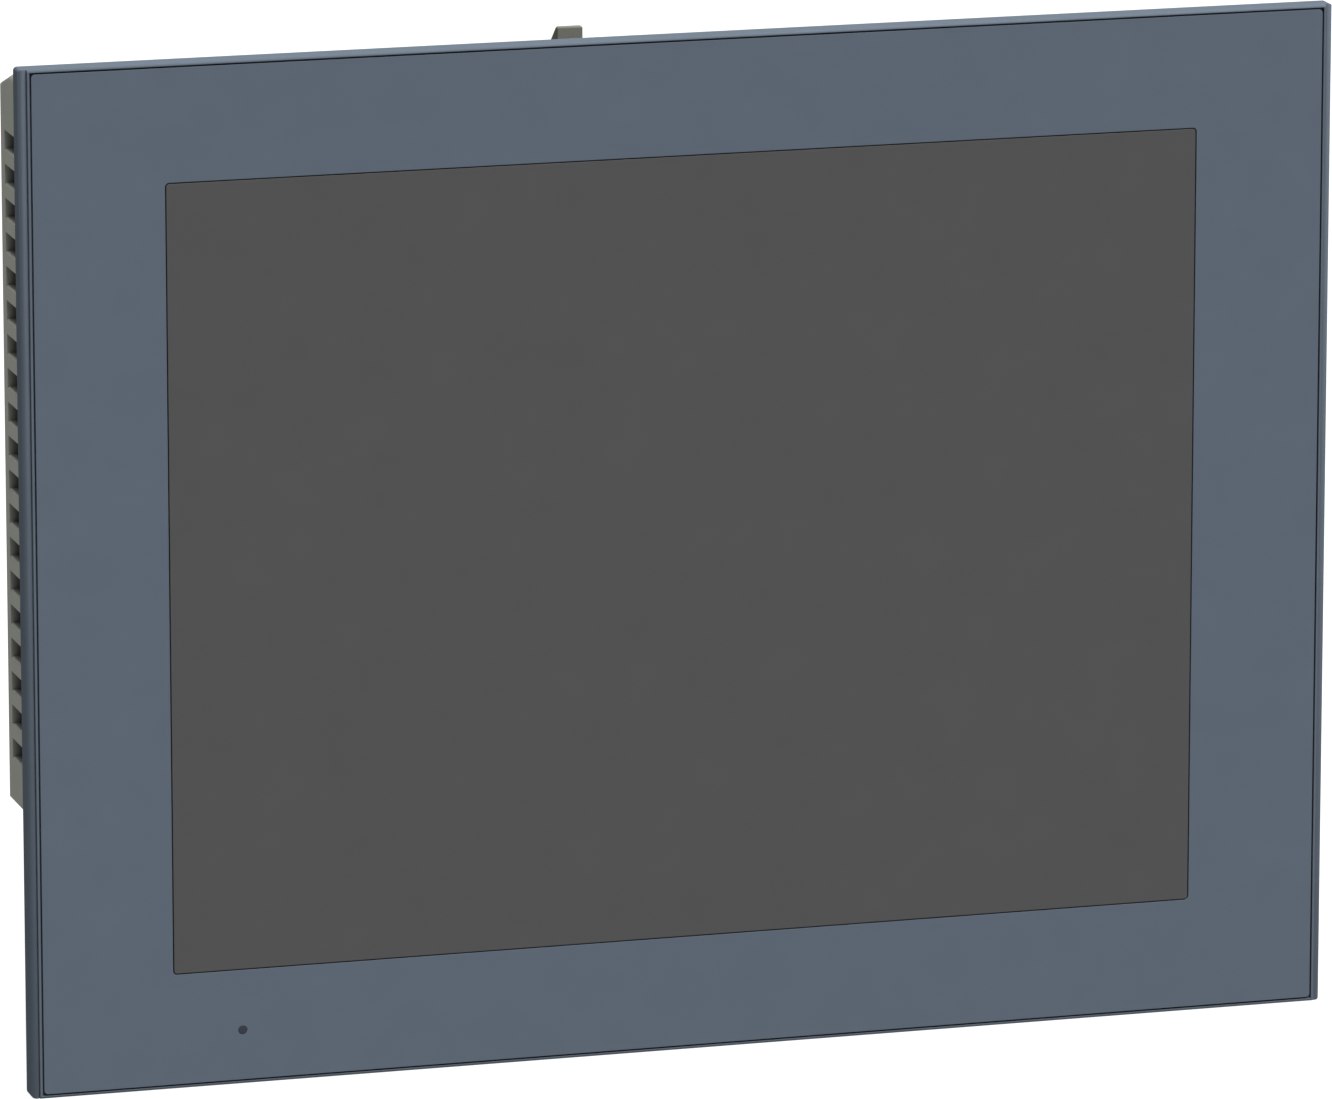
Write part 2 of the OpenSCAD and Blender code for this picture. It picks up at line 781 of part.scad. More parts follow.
module serial_pins() {
    color(gold_colour) translate([serial_x, dsub_y, 0]) {
        for (n = [-2 : 2]) bar_z(0.5, port_face - 4.4, port_face, [2.77 * n, 1.42]);
        for (n = [-1.5 : 1.5]) bar_z(0.5, port_face - 4.4, port_face, [2.77 * n, -1.42]);
    }
}

module jack_screws() {
    color(steel_colour) for (s = [-1, 1])
        translate([serial_x + s * dsub_screw_gap / 2, dsub_y, 0]) difference() {
            union() {
                translate([0, 0, port_face - 5]) cylinder(r = 2.7, h = 5, $fn = 6);
                bar_z(1.5, port_face, port_face + 6);
            }
            bar_z(1.2, port_face - 5 - eps, port_face);
        }
}

// A modular jack: shielded body with a mouth and a latch notch, open downwards
module modular_jack(x) {
    y = board_rear;
    color(steel_colour) difference() {
        box([x - jack_size[0] / 2, x + jack_size[0] / 2], [y, y + jack_size[1]],
            [port_face, port_face + jack_size[2]]);
        box([x - jack_mouth[0] / 2, x + jack_mouth[0] / 2], [y + 2, y + 2 + jack_mouth[1]],
            [port_face - eps, port_face + jack_mouth[2]]);
        box([x - 3.1, x + 3.1], [y + jack_mouth[1], y + 10.6], [port_face - eps, port_face + 10]);
        box([x - 1.6, x + 1.6], [y + 10, y + 11.8], [port_face - eps, port_face + 10]);
    }
}

module serial_jack() { modular_jack(serial_jack_x); }
module ethernet_jack_1() { modular_jack(ethernet_x[0]); }
module ethernet_jack_2() { modular_jack(ethernet_x[1]); }

module jack_contacts() {
    y = board_rear + 2;
    color(gold_colour) for (x = concat([serial_jack_x], ethernet_x), n = [-3.5 : 3.5])
        side_view(x + 1.02 * n - 0.2, x + 1.02 * n + 0.2)
            polygon([[y, port_face + 3], [y + 0.5, port_face + 3], [y + 2, port_face + 11],
                [y + 2, port_face + 12], [y, port_face + 12]]);
}

module usb_port(x) {
    y = board_rear;
    color(steel_colour) difference() {
        box([x - usb_size[0] / 2, x + usb_size[0] / 2], [y, y + usb_size[1]],
            [port_face, port_face + usb_size[2]]);
        box([x - 6.6, x + 6.6], [y + 0.6, y + 6.2], [port_face - eps, port_face + 12]);
    }
}

module usb_port_1() { usb_port(usb_x[0]); }
module usb_port_2() { usb_port(usb_x[1]); }

module usb_inserts() {
    color(black_colour) for (x = usb_x) {
        box([x - 6.6, x + 6.6], [board_rear + 0.6, board_rear + 6.2], [port_face + 10, port_face + 12]);
        box([x - 5.6, x + 5.6], [board_rear + 3.6, board_rear + 5.4], [port_face + 1, port_face + 10]);
    }
}

module usb_mini_port() {
    y = board_rear;
    color(steel_colour) difference() {
        box([mini_x - mini_size[0] / 2, mini_x + mini_size[0] / 2], [y, y + mini_size[1]],
            [port_face, port_face + mini_size[2]]);
        box([mini_x - 3.4, mini_x + 3.4], [y + 0.5, y + 3.5], [port_face - eps, port_face + 7]);
    }
    color(black_colour) box([mini_x - 2.2, mini_x + 2.2], [y + 1.5, y + 2.4], [port_face + 1, port_face + 7]);
}

module card_socket() {
    y = board_rear;
    color(steel_colour) difference() {
        box([card_slot_x - 13.8, card_slot_x + 13.8], [y, y + 5.4], [card_face, card_face + 28]);
        box([card_slot_x - 12.3, card_slot_x + 12.3], [y + 2.4, y + 4.8],
            [card_face - eps, card_face + 26]);
    }
}

module switch_block() {
    color([0.7, 0.12, 0.1]) difference() {
        box([switch_x - 5.7, switch_x + 5.7], [switch_y - 3.2, switch_y + 3.2], [switch_face, -48]);
        for (n = [0 : 3]) {
            x = switch_x + 2.54 * (n - 1.5);
            box([x - 0.6, x + 0.6], [switch_y - 1.6, switch_y + 1.6],
                [switch_face - eps, switch_face + 2]);
        }
    }
    // riser that carries the switches off the board
    color(board_colour) box([switch_x - 5.7, switch_x + 5.7], [board_rear, switch_y - 3.2], [-54, -48]);
}

module switch_lever(n) {
    x = switch_x + 2.54 * (n - 1.5);
    color("white") box([x - 0.5, x + 0.5], [switch_y - 1.55, switch_y - 1.55 + 3.1 - switch_travel],
        [switch_face - 0.8, switch_face + 1.8]);
}

module switch_lever_1() { switch_lever(0); }
module switch_lever_2() { switch_lever(1); }
module switch_lever_3() { switch_lever(2); }
module switch_lever_4() { switch_lever(3); }

// ---------- moving pieces ----------

module card_door() {
    x = [card_x - door_half_w, card_x + door_half_w];
    color(housing_colour) {
        difference() {
            union() {
                bar_x(1.6, x[0], x[1], door_axis);
                box(x, [door_axis[0], door_rear], [-ledge_z, -ledge_z + door_t]);
            }
            box([card_x - 5, card_x + 5], [door_rear - 1.2, door_rear + eps],
                [-ledge_z - eps, -ledge_z + 0.8]);
        }
        bar_x(door_pin_r, x[0] - 2, x[1] + 2, door_axis);
    }
}

// A sprung arm with an upright catch at its end; the catch's back falls away
module anti_drop_hook() {
    base_z = hook_pivot[1] + 1.5;
    r = 0.4;
    front = hook_y + r;
    top = hook_top_z - r;
    back = hook_y + 7.2 - r;
    color(housing_colour) intersection() {
        side_view(-hook_x - hook_w / 2, -hook_x + hook_w / 2) {
            translate(hook_pivot) circle(1.5);
            polygon([
                [hook_pivot[0], hook_pivot[1] - 1.5], [hook_pivot[0], hook_pivot[1] + 1.5],
                [hook_y + 9.4, base_z + 2], [back, base_z + 6], [front, base_z + 6],
                [hook_y, base_z + 6], [hook_y, base_z - 1], [hook_y + 8, base_z - 2.5]
            ]);
            rounded_outline([
                [front, base_z + 5], [back, base_z + 5], [back, top - (back - front - 0.8) * tan(hook_lean)],
                [front + 0.8, top], [front, top]
            ], r);
        }
        slab(hook_y - eps, hook_pivot[0] + 2) translate([-hook_x, 0])
            rounded_rect(hook_w, 2 * hook_top_z, 0.5);
    }
}

module power_plug() {
    y = board_rear;
    top = port_face - 0.3;
    bottom = top - plug_h;
    color([0.12, 0.4, 0.22]) difference() {
        union() {
            box([power_x - power_half_w, power_x + power_half_w], [y + 0.4, y + 9.8], [bottom, top]);
            box([power_x - 7.6, power_x + 7.6], [y + 2, y + 8], [top, port_face + 8.4]);
        }
        for (n = [-1 : 1]) {
            x = power_x + power_pitch * n;
            bar_z(0.9, port_face + 1.4, port_face + 9, [x, power_y]);
            bar_z(1.9, bottom - eps, bottom + 9, [x, y + 4]);
            bar_y(1.9, y + 4, y + 9.8 + eps, [x, bottom + 6]);
        }
        for (s = [-1, 1]) {
            bar_z(1.7, bottom - eps, top + eps, [power_x + s * power_screw_x, power_y]);
            bar_z(2.3, bottom - eps, bottom + 4, [power_x + s * power_screw_x, power_y]);
        }
    }
}

// The two captive screws that lock the plug to its header
module plug_screws() {
    bottom = port_face - 0.3 - plug_h;
    color(steel_colour) for (s = [-1, 1])
        translate([power_x + s * power_screw_x, power_y, 0]) difference() {
            union() {
                bar_z(2.2, bottom + 2, bottom + 4);
                bar_z(1.3, bottom + 4, port_face + 4);
            }
            box([-1.8, 1.8], [-0.3, 0.3], [bottom + 1, bottom + 2.8]);
        }
}

module terminal_screws() {
    y = board_rear + 9.2;
    color(steel_colour) for (n = [-1 : 1]) translate([power_x + power_pitch * n, 0, port_face - 9.3])
        difference() {
            bar_y(1.8, y - 3.2, y);
            box([-1.5, 1.5], [y - 0.8, y + eps], [-0.3, 0.3]);
        }
}

front_bezel();
front_overlay();
touch_film();
touch_glass();
touch_tail();
status_light();
status_board();
panel_gasket();
display_gasket();
lcd_frame();
lcd_cell();
light_guide();
backlight_strip();
lcd_tray();
lcd_cable();
display_pads();
chassis_plate();
chassis_screws();
board_standoffs();
main_board();
board_screws();
processor();
heat_sink();
memory_chips();
interface_chips();
power_coil();
capacitors();
backup_battery();
buzzer();
rear_housing();
housing_screws();
rating_plate();
power_header();
power_pins();
serial_shell();
serial_insert();
serial_pins();
jack_screws();
serial_jack();
ethernet_jack_1();
ethernet_jack_2();
jack_contacts();
usb_port_1();
usb_port_2();
usb_inserts();
usb_mini_port();
card_socket();
switch_block();
switch_lever_1();
switch_lever_2();
switch_lever_3();
switch_lever_4();
card_door();
anti_drop_hook();
power_plug();
plug_screws();
terminal_screws();
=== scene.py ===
"""Looks for the touch operator panel: materials, small mesh-coded parts, light and camera.

Every length is in metres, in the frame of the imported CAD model: X along the width, +Y to the rear,
Z up, and the plane y = 0 is the face that seats on the cabinet panel.
"""
import itertools
import math
import random

import bmesh
import bpy
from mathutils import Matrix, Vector


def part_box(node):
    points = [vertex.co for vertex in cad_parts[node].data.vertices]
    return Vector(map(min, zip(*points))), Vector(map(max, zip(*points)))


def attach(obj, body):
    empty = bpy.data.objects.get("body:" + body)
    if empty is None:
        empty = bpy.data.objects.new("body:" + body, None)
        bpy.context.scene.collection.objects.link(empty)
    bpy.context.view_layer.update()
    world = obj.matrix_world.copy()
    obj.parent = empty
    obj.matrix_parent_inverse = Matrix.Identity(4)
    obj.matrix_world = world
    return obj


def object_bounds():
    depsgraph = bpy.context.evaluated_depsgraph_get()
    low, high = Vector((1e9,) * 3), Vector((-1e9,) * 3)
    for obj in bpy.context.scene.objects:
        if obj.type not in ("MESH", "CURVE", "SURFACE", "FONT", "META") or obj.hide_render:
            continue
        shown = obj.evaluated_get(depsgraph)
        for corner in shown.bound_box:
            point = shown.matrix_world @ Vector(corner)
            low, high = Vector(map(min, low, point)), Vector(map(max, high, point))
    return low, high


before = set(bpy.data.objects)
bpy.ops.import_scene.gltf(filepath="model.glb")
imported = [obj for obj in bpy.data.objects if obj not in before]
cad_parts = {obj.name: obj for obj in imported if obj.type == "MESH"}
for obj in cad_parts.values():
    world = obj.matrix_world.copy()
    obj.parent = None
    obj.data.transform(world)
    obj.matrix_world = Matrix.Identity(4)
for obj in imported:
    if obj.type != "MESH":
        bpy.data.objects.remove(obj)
cad_low, cad_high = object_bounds()
MM = 0.001  # one millimetre in the scene's unit


# ---------- Camera ----------
# A long-lens view from the left and a little above
CAMERA_AZIMUTH = math.radians(-16.24)
CAMERA_ELEVATION = math.radians(12.75)
CAMERA_DISTANCE = 2.49775
CAMERA_TARGET = Vector((-0.00525, -0.00598, 0.0001))
CAMERA_LENS = 290.8
CAMERA_SENSOR = 36
CAMERA_CLIP = (0.05, 100)


def make_camera():
    data = bpy.data.cameras.new("camera")
    data.lens = CAMERA_LENS
    data.sensor_fit = "HORIZONTAL"
    data.sensor_width = CAMERA_SENSOR
    data.clip_start, data.clip_end = CAMERA_CLIP
    back = Vector((
        math.sin(CAMERA_AZIMUTH) * math.cos(CAMERA_ELEVATION),
        -math.cos(CAMERA_AZIMUTH) * math.cos(CAMERA_ELEVATION),
        math.sin(CAMERA_ELEVATION),
    ))
    camera = bpy.data.objects.new("camera", data)
    camera.location = CAMERA_TARGET + back * CAMERA_DISTANCE
    camera.rotation_mode = "QUATERNION"
    camera.rotation_quaternion = (-back).to_track_quat("-Z", "Y")
    bpy.context.scene.collection.objects.link(camera)
    bpy.context.scene.camera = camera


make_camera()


# ---------- Light and floor ----------
SKY_TOWARDS = (0.3, 0, 0.95)
SKY_AT_HORIZON = 0.25
SKY_OVERHEAD = 1.75
KEY_TOWARDS = (0.3, -0.57, 1.5)
KEY_STRENGTH = 9.0
KEY_SPREAD = 40
FLOOR_SIZE = 30.0
FLOOR_ALBEDO = 0.06
FLOOR_GLOW = 0.97


def make_sky():
    """A white studio tent, brighter overhead and to the right than at the horizon."""
    world = bpy.data.worlds.new("sky")
    bpy.context.scene.world = world
    world.use_nodes = True
    tree = world.node_tree
    place = tree.nodes.new("ShaderNodeTexCoord")
    height = tree.nodes.new("ShaderNodeVectorMath")
    height.operation = "DOT_PRODUCT"
    height.inputs[1].default_value = SKY_TOWARDS
    grade = tree.nodes.new("ShaderNodeMapRange")
    grade.inputs["To Min"].default_value = SKY_AT_HORIZON
    grade.inputs["To Max"].default_value = SKY_OVERHEAD
    background = tree.nodes["Background"]
    background.inputs["Color"].default_value = (1, 1, 1, 1)
    tree.links.new(place.outputs["Generated"], height.inputs[0])
    tree.links.new(height.outputs["Value"], grade.inputs["Value"])
    tree.links.new(grade.outputs["Result"], background.inputs["Strength"])


def sun(name, towards, strength, spread):
    """A sun that shines from the direction `towards`, spread over that many degrees."""
    data = bpy.data.lights.new(name, "SUN")
    data.energy = strength
    data.angle = math.radians(spread)
    lamp = bpy.data.objects.new(name, data)
    lamp.rotation_mode = "QUATERNION"
    lamp.rotation_quaternion = Vector(towards).to_track_quat("Z", "Y")
    bpy.context.scene.collection.objects.link(lamp)


def make_floor():
    """A pale sheet under the object, which shows only its upper side."""
    half = FLOOR_SIZE / 2
    mesh = bpy.data.meshes.new("floor")
    corners = [(-half, -half, 0), (half, -half, 0), (half, half, 0), (-half, half, 0)]
    mesh.from_pydata(corners, [], [(0, 1, 2, 3)])
    floor = bpy.data.objects.new("floor", mesh)
    floor.location.z = cad_low.z
    bpy.context.scene.collection.objects.link(floor)
    paint = bpy.data.materials.new("floor_paper")
    paint.use_nodes = True
    nodes, links = paint.node_tree.nodes, paint.node_tree.links
    shader = nodes["Principled BSDF"]
    shader.inputs["Base Color"].default_value = (*[FLOOR_ALBEDO] * 3, 1)
    shader.inputs["Roughness"].default_value = 1
    shader.inputs["Specular IOR Level"].default_value = 0
    shader.inputs["Emission Color"].default_value = (1, 1, 1, 1)
    shader.inputs["Emission Strength"].default_value = FLOOR_GLOW
    clear = nodes.new("ShaderNodeBsdfTransparent")
    side = nodes.new("ShaderNodeNewGeometry")
    mix = nodes.new("ShaderNodeMixShader")
    links.new(side.outputs["Backfacing"], mix.inputs["Fac"])
    links.new(shader.outputs["BSDF"], mix.inputs[1])
    links.new(clear.outputs["BSDF"], mix.inputs[2])
    links.new(mix.outputs["Shader"], nodes["Material Output"].inputs["Surface"])
    mesh.materials.append(paint)


make_sky()
sun("sun_key", KEY_TOWARDS, KEY_STRENGTH, KEY_SPREAD)
make_floor()
bpy.context.scene.view_settings.view_transform = "Standard"


# ---------- Materials ----------
# Depths in millimetres, from a side wall's outer face, at which the painted shade inside starts and is
# full
SLOT_SHADE_STARTS = 0.2
SLOT_SHADE_IS_FULL = 2
# The parts of the side walls that get the painted shade: heights, and the distance to the rear
SLOT_SHADE_HEIGHTS = (-60, 100)
SLOT_SHADE_REAR = 47
SLOT_SHADE_SHARE = 0.4
MASK_DEPTH = 0.03  # height in millimetres of a copper track under the solder mask


class Surface:
    """One Principled material with textures measured in millimetres on the object."""

    def __init__(self, name, colour, roughness, metallic=0.0):
        self.material = bpy.data.materials.new(name)
        self.material.use_nodes = True
        self.tree = self.material.node_tree
        self.shader = self.tree.nodes["Principled BSDF"]
        self.colour = colour
        self.set("Base Color", (*colour, 1))
        self.set("Roughness", roughness)
        self.set("Metallic", metallic)

    def set(self, socket, value):
        self.shader.inputs[socket].default_value = value
        return self

    def node(self, kind, **settings):
        made = self.tree.nodes.new(kind)
        for key, value in settings.items():
            setattr(made, key, value)
        return made

    def noise(self, size, detail=3, stretch=(1, 1, 1)):
        """A noise factor whose grains are about `size` millimetres, longer along a small stretch."""
        place = self.node("ShaderNodeTexCoord")
        mapping = self.node("ShaderNodeMapping")
        mapping.inputs["Scale"].default_value = stretch
        texture = self.node("ShaderNodeTexNoise")
        texture.inputs["Scale"].default_value = 1 / (size * MM)
        texture.inputs["Detail"].default_value = detail
        self.tree.links.new(place.outputs["Object"], mapping.inputs["Vector"])
        self.tree.links.new(mapping.outputs["Vector"], texture.inputs["Vector"])
        return texture.outputs["Fac"]

    def spread(self, factor, low, high):
        """The factor's middle range as a number from low to high."""
        made = self.node("ShaderNodeMapRange")
        made.inputs["From Min"].default_value = 0.3
        made.inputs["From Max"].default_value = 0.7
        made.inputs["To Min"].default_value = low
        made.inputs["To Max"].default_value = high
        self.tree.links.new(factor, made.inputs["Value"])
        return made.outputs["Result"]

    def blend(self, factor, low, high):
        """The base colour goes from low to high with the factor; a low of None keeps what feeds it."""
        mix = self.node("ShaderNodeMix", data_type="RGBA")
        first, second = [socket for socket in mix.inputs if socket.type == "RGBA"]
        base = self.shader.inputs["Base Color"]
        if low is None:
            self.tree.links.new(base.links[0].from_socket, first)
        else:
            first.default_value = (*low, 1)
        second.default_value = (*high, 1)
        self.tree.links.new(factor, mix.inputs["Factor"])
        result = [socket for socket in mix.outputs if socket.type == "RGBA"][0]
        self.tree.links.new(result, base)
        return self

    def vary_colour(self, factor, amount):
        """Brightness varies by that share of itself either way."""
        low, high = [[min(1, c * share) for c in self.colour] for share in (1 - amount, 1 + amount)]
        return self.blend(self.spread(factor, 0, 1), low, high)

    def paint_shade_inside(self, half_width, low, high, rear, share):
        """Painted shade: fades to that share of the colour from the side walls inwards, standing in for
        the shade in the slots.

        It acts between the heights low and high and in front of rear, in millimetres.
        """
        place = self.node("ShaderNodeTexCoord")
        split = self.node("ShaderNodeSeparateXYZ")
        across = self.node("ShaderNodeMath", operation="ABSOLUTE")
        depth = self.node("ShaderNodeMapRange")
        depth.inputs["From Min"].default_value = (half_width - SLOT_SHADE_STARTS) * MM
        depth.inputs["From Max"].default_value = (half_width - SLOT_SHADE_IS_FULL) * MM
        level = self.node("ShaderNodeMath", operation="COMPARE")
        level.inputs[1].default_value = (low + high) / 2 * MM
        level.inputs[2].default_value = (high - low) / 2 * MM
        before = self.node("ShaderNodeMath", operation="LESS_THAN")
        before.inputs[1].default_value = rear * MM
        both = self.node("ShaderNodeMath", operation="MULTIPLY")
        inside = self.node("ShaderNodeMath", operation="MULTIPLY")
        links = self.tree.links
        links.new(place.outputs["Object"], split.inputs["Vector"])
        links.new(split.outputs["X"], across.inputs[0])
        links.new(across.outputs["Value"], depth.inputs["Value"])
        links.new(split.outputs["Z"], level.inputs[0])
        links.new(split.outputs["Y"], before.inputs[0])
        links.new(level.outputs["Value"], both.inputs[0])
        links.new(before.outputs["Value"], both.inputs[1])
        links.new(depth.outputs["Result"], inside.inputs[0])
        links.new(both.outputs["Value"], inside.inputs[1])
        return self.blend(inside.outputs["Value"], None, [c * share for c in self.colour])

    def vary_roughness(self, factor, low, high):
        self.tree.links.new(self.spread(factor, low, high), self.shader.inputs["Roughness"])
        return self

    def bump(self, factor, depth):
        """Raises the surface by up to `depth` millimetres where the factor is 1."""
        made = self.node("ShaderNodeBump")
        made.inputs["Strength"].default_value = 1
        made.inputs["Distance"].default_value = depth * MM
        self.tree.links.new(factor, made.inputs["Height"])
        self.tree.links.new(made.outputs["Normal"], self.shader.inputs["Normal"])
        return self


def moulded(name, colour, roughness, grain=0.25, depth=0.004, gloss=0.3):
    """Injection-moulded plastic with a fine spark-eroded texture."""
    made = Surface(name, colour, roughness)
    made.set("Specular IOR Level", gloss)
    made.vary_colour(made.noise(9, 2), 0.02)
    made.vary_roughness(made.noise(2.5, 2), roughness - 0.05, roughness + 0.05)
    made.bump(made.noise(grain, 2), depth)
    return made


def clear(name, colour, roughness, transmission):
    """Glass, acrylic or a smoked lens, with a trace of handling marks."""
    made = Surface(name, colour, roughness)
    made.set("Transmission Weight", transmission)
    made.vary_roughness(made.noise(6, 3), roughness, roughness + 0.08)
    return made


def solder_masked(name, board, track):
    """A circuit board: copper tracks, one millimetre apart, under a coloured mask."""
    made = Surface(name, board, 0.35)
    place = made.node("ShaderNodeTexCoord")
    bands = made.node("ShaderNodeTexWave", bands_direction="DIAGONAL")
    bands.inputs["Scale"].default_value = 1 / (3.2 * MM)
    bands.inputs["Distortion"].default_value = 2.5
    bands.inputs["Detail Scale"].default_value = 0.02
    made.tree.links.new(place.outputs["Object"], bands.inputs["Vector"])
    edge = made.node("ShaderNodeMapRange")
    edge.inputs["From Min"].default_value = 0.62
    edge.inputs["From Max"].default_value = 0.7
    made.tree.links.new(bands.outputs["Fac"], edge.inputs["Value"])
    made.blend(edge.outputs["Result"], board, track)
    made.bump(edge.outputs["Result"], MASK_DEPTH)
    return made


def metal(name, colour, roughness, stretch=(1, 1, 1), grain=0.5, depth=0.002):
    """Plated or drawn metal with faint streaks."""
    made = Surface(name, colour, roughness, metallic=1.0)
    made.vary_colour(made.noise(4, 2), 0.05)
    made.vary_roughness(made.noise(grain, 3, stretch), roughness - 0.08, roughness + 0.1)
    made.bump(made.noise(grain, 3, stretch), depth)
    return made


surfaces = {
    "bezel_plastic": moulded("bezel_plastic", (0.0535, 0.0655, 0.081), 0.55, gloss=0),
    "overlay_film": moulded(
        "overlay_film", (0.0488, 0.0613, 0.0791), 0.5, grain=0.12, depth=0.001, gloss=0.08
    ),
    "touch_screen": moulded(
        "touch_screen", (0.036, 0.036, 0.036), 0.45, grain=0.1, depth=0.001, gloss=0.12
    ),
    "touch_glass": clear("touch_glass", (0.8, 0.88, 0.85), 0.03, 0.9),
    "housing_plastic": moulded("housing_plastic", (0.18, 0.186, 0.166), 0.6, depth=0.006, gloss=0),
    "hook_plastic": moulded("hook_plastic", (0.085, 0.086, 0.0745), 0.6, depth=0.006, gloss=0),
    "gasket_rubber": moulded("gasket_rubber", (0.02, 0.02, 0.02), 0.8),
    "foam": moulded("foam", (0.04, 0.04, 0.042), 0.95, grain=0.4, depth=0.05),
    "light_lens": moulded("light_lens", (0.016, 0.019, 0.026), 0.4, grain=0.1, depth=0.001, gloss=0.1),
    "circuit_board": solder_masked("circuit_board", (0.008, 0.07, 0.03), (0.02, 0.13, 0.05)),
    "chip_plastic": moulded("chip_plastic", (0.018, 0.018, 0.02), 0.55),
    "black_plastic": moulded("black_plastic", (0.02, 0.02, 0.02), 0.45),
    "green_plastic": moulded("green_plastic", (0.03, 0.25, 0.08), 0.4),
    "red_plastic": moulded("red_plastic", (0.45, 0.02, 0.02), 0.4),
    "white_plastic": moulded("white_plastic", (0.7, 0.7, 0.68), 0.45),
    "clear_guide": clear("clear_guide", (0.9, 0.93, 0.93), 0.05, 0.85),
    "lcd_glass": clear("lcd_glass", (0.02, 0.025, 0.03), 0.1, 0.0),
    "flex_film": moulded("flex_film", (0.35, 0.16, 0.03), 0.35),
    "plated_steel": metal("plated_steel", (0.6, 0.6, 0.58), 0.35),
    "nickel_shell": metal("nickel_shell", (0.62, 0.6, 0.56), 0.28),
    "heat_sink_aluminium": metal("heat_sink_aluminium", (0.7, 0.7, 0.71), 0.4),
    "gold_contacts": metal("gold_contacts", (0.85, 0.6, 0.22), 0.22),
    "brass_standoff": metal("brass_standoff", (0.7, 0.5, 0.2), 0.3),
    "label_film": moulded("label_film", (0.6, 0.6, 0.59), 0.4, grain=0.1, depth=0.001),
    "label_ink": moulded("label_ink", (0.03, 0.03, 0.035), 0.5, grain=0.1, depth=0.001),
    "ceramic": moulded("ceramic", (0.3, 0.2, 0.12), 0.6, grain=0.1, depth=0.002),
    "tin": metal("tin", (0.65, 0.65, 0.64), 0.4, grain=0.2),
    "amber_window": clear("amber_window", (0.75, 0.35, 0.05), 0.2, 0.3),
    "green_window": clear("green_window", (0.1, 0.55, 0.12), 0.2, 0.3),
}

# Painted shade: the depths of the side slots and the inside of the side walls get a darker colour that
# stands in for the shade there
surfaces["housing_plastic"].paint_shade_inside(
    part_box("rear_housing")[1][0] / MM, *SLOT_SHADE_HEIGHTS, SLOT_SHADE_REAR, SLOT_SHADE_SHARE
)

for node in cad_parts.values():
    slot = node.material_slots[0]
    slot.material = surfaces[slot.material.name.split(".")[0]].material
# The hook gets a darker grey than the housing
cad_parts["anti_drop_hook"].material_slots[0].material = surfaces["hook_plastic"].material


# ---------- Soft edges on the CAD nodes ----------
# Widths in millimetres of the softened edges, where they aren't EDGE_WIDTH
EDGE_WIDTH = 0.15
EDGE_WIDTHS = {
    "front_bezel": 0.06, "front_overlay": 0.06, "touch_film": 0.06, "rear_housing": 0.1,
    "anti_drop_hook": 0.05, "rating_plate": 0.04, "touch_tail": 0.05, "lcd_cable": 0.05,
    "jack_contacts": 0.04, "serial_pins": 0.06, "power_pins": 0.08, "serial_shell": 0.08,
    "serial_insert": 0.08, "plug_screws": 0.06, "terminal_screws": 0.06, "lcd_frame": 0.08,
    "switch_lever_1": 0.05, "switch_lever_2": 0.05, "switch_lever_3": 0.05, "switch_lever_4": 0.05,
}
EDGE_ANGLE = math.radians(40)
FLAT_ANGLE = math.radians(0.3)
WELD_DISTANCE = 1e-6


def bevel(piece, width, clamp=True):
    made = piece.modifiers.new("bevel", "BEVEL")
    made.width = width * MM
    made.segments = 2
    made.limit_method = "ANGLE"
    made.angle_limit = EDGE_ANGLE
    made.use_clamp_overlap = clamp
    made.harden_normals = True


def soften(node, width, flatten=True, clamp=False):
    """Rounds a CAD node's sharp edges by `width` millimetres with modifiers."""
    node.modifiers.new("weld", "WELD").merge_threshold = WELD_DISTANCE
    if flatten:
        flat = node.modifiers.new("flat", "DECIMATE")
        flat.decimate_type = "DISSOLVE"
        flat.angle_limit = FLAT_ANGLE
    bevel(node, width, clamp)


for name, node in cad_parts.items():
    width = EDGE_WIDTHS.get(name, EDGE_WIDTH)
    soften(node, width, flatten=name != "front_bezel", clamp=name == "rear_housing")


# ---------- Small pieces in mesh code ----------
SLEEVE_SIDES = 24
# Free areas on the board, as x0, x1, z0, z1 in millimetres
BOARD_ZONES = [
    (-116, -58, 36, 58), (-50, -8, 50, 66), (30, 64, -14, 60), (92, 122, -18, 28), (-78, -58, -14, 30),
]
# Length, width and height of the small parts in millimetres, and the number of their colour
CHIP_SIZES = [(1.6, 0.8, 0.45, 0), (1.6, 0.8, 0.8, 2), (2.0, 1.25, 0.9, 2), (4.4, 3.4, 1.2, 0)]
CHIP_PITCH = (5.5, 5)  # spacing of the small parts across and up
CHIP_INSET = 2.5  # distance of the first row from the area's edges
CHIP_SKIPS = 0.25  # share of the places left empty
CHIP_CAP = 0.2  # share of a small part's length that each tinned end takes
CHIP_CAP_GROWS = 0.03  # by which a tinned end stands out past the small part's body


